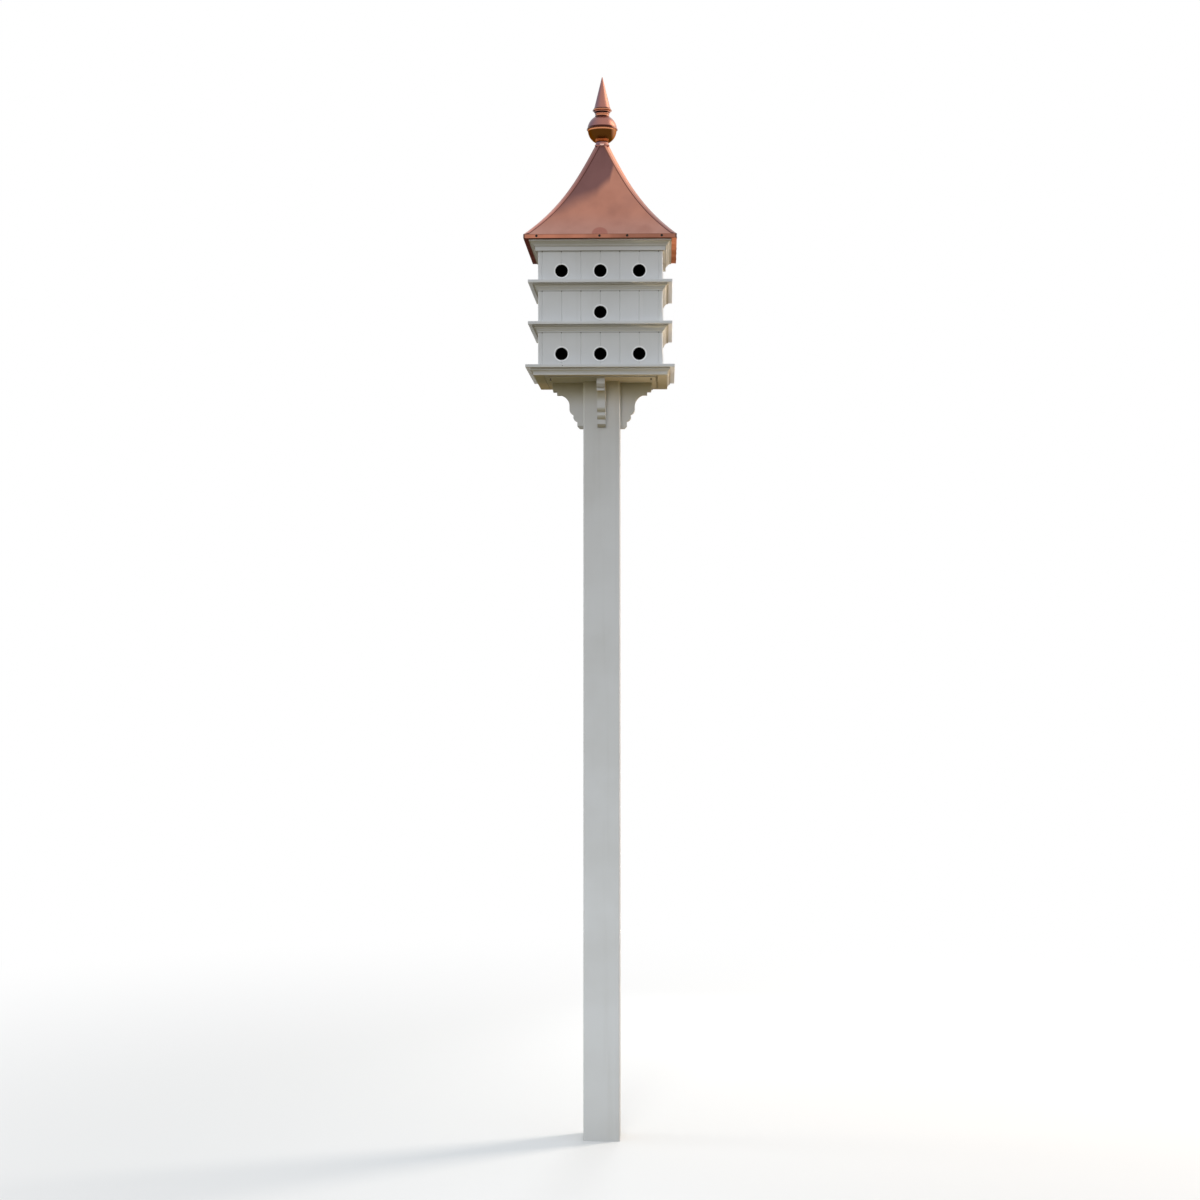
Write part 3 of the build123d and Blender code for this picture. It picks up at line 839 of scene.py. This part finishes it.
def half_round(name, half, low, high, out, thick, rounding, material):
    """A small plate with a half-round lower edge on the front, from out to out plus thick."""
    segments = 14
    rim = []
    for step in range(segments + 1):
        angle = math.pi * step / segments
        rim.append((half * math.cos(angle), low * math.sin(angle)))
    rim += [(-half, high), (half, high)]
    bm = bmesh.new()
    back = [bm.verts.new((x, -out, COLLAR_LOW + z)) for x, z in rim]
    front = [bm.verts.new((x, -out - thick, COLLAR_LOW + z)) for x, z in rim]
    bm.faces.new(back)
    bm.faces.new(front)
    for index in range(len(rim)):
        after = (index + 1) % len(rim)
        bm.faces.new((back[index], back[after], front[after], front[index]))
    bmesh.ops.bevel(bm, geom=bm.edges, offset=rounding, segments=2, affect="EDGES")
    piece(name, bm, material)


def collar_tab(copper, tab_shadow):
    """The tab that fastens the finial's collar at the front, painted light as its highlight, over a dark
    plate that paints its shadow.
    """
    half_round("collar_tab", TAB_HALF, TAB_LOW, TAB_HIGH, COLLAR_HALF - TAB_SUNK, TAB_THICK + TAB_SUNK,
               TAB_ROUND, copper)
    half_round("collar_tab_shadow", TAB_SHADOW_HALF, TAB_SHADOW_LOW, 0.0, CAP_HALF - TAB_SHADOW_SUNK, TAB_SHADOW_THICK,
               TAB_SHADOW_ROUND, tab_shadow)


# Light and dark tones of plain materials, and what the copper edge mirrors at a grazing angle
TIMBER_TONES = (0.42, 0.30, 0.18), (0.28, 0.19, 0.10)
# The dividers are near black as painted shade of the rooms
DIVIDER_SHADE_TONES = (0.010, 0.008, 0.006), (0.006, 0.005, 0.004)
EDGE_TONES = (0.52, 0.205, 0.130), (0.40, 0.155, 0.095)
EDGE_TINT = (0.95, 0.52, 0.34)
CAP_TONES = (0.34, 0.15, 0.12), (0.24, 0.10, 0.08)
# The tab is painted light as its highlight, and the plate under it dark as its shadow
TAB_TONES = (0.80, 0.50, 0.42), (0.72, 0.42, 0.34)
TAB_SHADOW_TONES = (0.060, 0.022, 0.018), (0.035, 0.014, 0.012)
# The near black edges of the holes are painted shade
HOLE_SHADE_TONES = (0.012, 0.011, 0.010), (0.006, 0.006, 0.006)
FASTENER_TONES = (0.012, 0.009, 0.008), (0.006, 0.005, 0.004)
SCREW_TONES = (0.11, 0.09, 0.07), (0.05, 0.04, 0.03)
NAIL_TONES = (0.20, 0.18, 0.15), (0.10, 0.09, 0.08)

# White boards
dress([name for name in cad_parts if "_wall_" in name], vinyl("wall_vinyl", streaked=0.10, rooms=True))
dress(["post_sleeve"], vinyl("sleeve_vinyl", streaked=0.08, outward_shade=1.0))
dress([f"{side}_bracket" for side in SIDES],
      vinyl("bracket_vinyl", gloss=0.0, outward_shade=0.0, underside_shade=0.35, painted_shade=bracket_shade))
dress(["platform_board", "ledge_board_low", "ledge_board_high", "eave_board"],
      vinyl("board_vinyl", rooms=True))
dress(["base_frame", "base_panel", "frieze", *CROWN_SHADE_LINES],
      vinyl("trim_vinyl", gloss=0.0, underside_shade=0.20, painted_shade=crown_shade))

# Wood
dress(["post_timber"], wood("sawn_timber", *TIMBER_TONES, roughness=0.8))
dress(["dividers_1", "dividers_2", "dividers_3"], wood("room_shade_board", *DIVIDER_SHADE_TONES, roughness=0.9))

# Copper
for side, turn in SIDES.items():
    dress([f"{side}_roof_sheet"], sheet_copper(f"copper_sheet_{side}", turn, stained=side == "front"))
dress(["copper_edge"], trim_copper("copper_edge", *EDGE_TONES, edge_tarnish_and_shade, EDGE_TINT))
dress(["hip_strips"], strip_copper("copper_strip"))
dress(["roof_cap"], trim_copper("copper_cap", *CAP_TONES))
dress(["finial_collar"], spun_copper("collar_copper", "finial_collar", COLLAR_CREASES))
dress(["finial_ball_lower"], ball_copper("ball_copper_dark"))
dress(["finial_ball_upper"], spun_copper("ball_copper", "finial_ball_upper", BALL_CREASES, BALL_EDGES))
dress(["finial_neck"], spun_copper("neck_copper", "finial_neck", NECK_CREASES, NECK_EDGES))
dress(["finial_spire"], spun_copper("spire_copper", "finial_spire", SPIRE_CREASES, SPIRE_EDGES))

# Small pieces
entrance_rims(rim_plastic("rim_plastic"), dark_metal("hole_shade_edge", *HOLE_SHADE_TONES))
edge_fasteners(dark_metal("fastener_metal", *FASTENER_TONES))
panel_screws(dark_metal("screw_metal", *SCREW_TONES))
platform_nails(dark_metal("nail_metal", *NAIL_TONES))
collar_tab(trim_copper("tab_copper", *TAB_TONES), dark_metal("tab_shadow", *TAB_SHADOW_TONES))


WHITE = (1, 1, 1)
# The floor as the camera and the metal see it, and as its light reaches the object
FLOOR_PALE = (0.76, 0.75, 0.73)
GROUND_BOUNCE = (0.150, 0.113, 0.036)
FLOOR_RADIUS = 30
# The seen floor fades into the white background between these distances from the post
FADE_START, FADE_END = 1.2, 6.5
SKY_COLOUR = (0.865, 0.925, 1.0)
HORIZON_LEVEL, ZENITH_LEVEL = 0.62, 0.88


def pale_floor():
    """A plain pale floor that fades into the white background and keeps the object's shadow."""
    bpy.ops.mesh.primitive_circle_add(vertices=96, radius=FLOOR_RADIUS, fill_type="NGON")
    floor = bpy.context.object
    floor.name = "floor"
    s = Shader("pale_floor")
    path = s.node("LightPath").outputs
    seen = s.larger(path["Is Camera Ray"], path["Is Glossy Ray"])
    s.set(Base_Color=s.mix(seen, GROUND_BOUNCE, FLOOR_PALE), Roughness=1.0, Specular_IOR_Level=0.0)
    away = s.node("VectorMath", {0: s.place}, operation="LENGTH").outputs["Value"]
    fade = s.times(s.range(away, FADE_START, FADE_END), seen)
    white = s.node("Emission", {"Color": WHITE, "Strength": 1.0}).outputs["Emission"]
    blend = s.node("MixShader", {0: fade, 1: s.surface.outputs["BSDF"], 2: white}).outputs["Shader"]
    s.feed(s.tree.nodes["Material Output"].inputs["Surface"], blend)
    floor.data.materials.append(s.material)


def even_sky():
    """An even sky that lights the object, and a white background that the camera and the metal see."""
    world = bpy.data.worlds.new("studio")
    bpy.context.scene.world = world
    world.use_nodes = True
    sky = Nodes(world.node_tree)
    generated = sky.node("TexCoord").outputs["Generated"]
    up = sky.node("SeparateXYZ", {"Vector": generated}).outputs["Z"]
    level = sky.node("MapRange", {"Value": up, "To Min": HORIZON_LEVEL, "To Max": ZENITH_LEVEL})
    light = sky.tree.nodes["Background"]
    sky.feed(light.inputs["Color"], SKY_COLOUR)
    sky.feed(light.inputs["Strength"], level.outputs["Result"])
    white = sky.node("Background", {"Color": WHITE, "Strength": 1.0})
    path = sky.node("LightPath").outputs
    seen = sky.larger(path["Is Camera Ray"], path["Is Glossy Ray"])
    seen = sky.larger(seen, path["Is Transmission Ray"])
    blend = sky.node("MixShader", {
        0: seen, 1: light.outputs["Background"], 2: white.outputs["Background"],
    })
    sky.feed(sky.tree.nodes["World Output"].inputs["Surface"], blend.outputs["Shader"])


def softbox(name, place, aim, size, power, colour, mirrored=False, lights=True, spread=180):
    """A square lamp at a place, turned towards a point. Spread is its beam's angle in degrees.

    The metal mirrors it or not, and it lights the plain surfaces or not.
    """
    lamp = bpy.data.lights.new(name, "AREA")
    lamp.shape = "SQUARE"
    lamp.size = size
    lamp.energy = power
    lamp.color = colour
    lamp.spread = math.radians(spread)
    made = bpy.data.objects.new(name, lamp)
    bpy.context.scene.collection.objects.link(made)
    made.visible_camera = False
    made.visible_glossy = mirrored
    made.visible_diffuse = lights
    made.location = place
    made.rotation_euler = (Vector(aim) - Vector(place)).to_track_quat("-Z", "Y").to_euler()


def camera():
    """The photograph's view, a little right of the middle, with the post and the horizon in place."""
    data = bpy.data.cameras.new("camera")
    data.lens = CAMERA_LENS
    data.sensor_width = CAMERA_SENSOR
    data.shift_y = (HORIZON_ROW - IMAGE_SIZE / 2) / IMAGE_SIZE
    made = bpy.data.objects.new("camera", data)
    bpy.context.scene.collection.objects.link(made)
    made.location = (
        CAMERA_DISTANCE * math.sin(CAMERA_SWING),
        -CAMERA_DISTANCE * math.cos(CAMERA_SWING),
        CAMERA_HEIGHT,
    )
    focal = IMAGE_SIZE * CAMERA_LENS / CAMERA_SENSOR
    heading = CAMERA_SWING + math.atan((AXIS_COLUMN - IMAGE_SIZE / 2) / focal)
    made.rotation_euler = (math.pi / 2, 0, heading)
    bpy.context.scene.camera = made


# Lamps: the sun from the right, its warm light from below, a spot under the house's right end, the gleam
# on the copper, a soft lamp on each other side, and weak ones towards the post's foot
HOUSE = (0, 0, 3.4)
POST_FOOT = (0, 0, 0.7)
SUN_COLOUR = (1.0, 0.93, 0.84)
GLOW_COLOUR = (1.0, 0.52, 0.20)
SPOT_COLOUR = (1.0, 0.80, 0.52)
GLEAM_COLOUR = (1.0, 0.80, 0.66)
SOFT_COLOUR = (0.98, 0.97, 0.95)
FOOT_COLOUR = (0.84, 0.92, 1.0)
SOFTBOXES = {"front": (-1.0, -9.0, 5.0), "left": (-9.0, 1.0, 5.0), "back": (1.0, 9.0, 5.0)}
FOOT_FILLS = {"front": (-0.6, -4.2, 0.8), "back": (0.6, 4.2, 0.8)}

pale_floor()
even_sky()
softbox("right_sun", (7.4, 3.8, 6.0), aim=(0, 0, 3.0), size=2.5, power=570, colour=SUN_COLOUR)
softbox("low_right_fill", (4.6, 2.2, 1.0), aim=(0, 0, 3.9), size=2.0, power=52, colour=GLOW_COLOUR)
softbox("right_low_spot", (2.4, 0.1, 1.9), aim=(0.48, -0.22, 3.57), size=0.25, power=0.25,
        colour=SPOT_COLOUR, spread=14)
softbox("right_gleam", (5.6, 1.4, 8.4), aim=(0, 0, 4.6), size=4.0, power=100,
        colour=GLEAM_COLOUR, mirrored=True, lights=False)
for side, place in SOFTBOXES.items():
    softbox(f"{side}_softbox", place, aim=HOUSE, size=2.4, power=130, colour=SOFT_COLOUR)
for side, place in FOOT_FILLS.items():
    softbox(f"low_{side}_fill", place, aim=POST_FOOT, size=1.2, power=8, colour=FOOT_COLOUR, spread=70)
camera()
bpy.context.scene.view_settings.view_transform = "Standard"
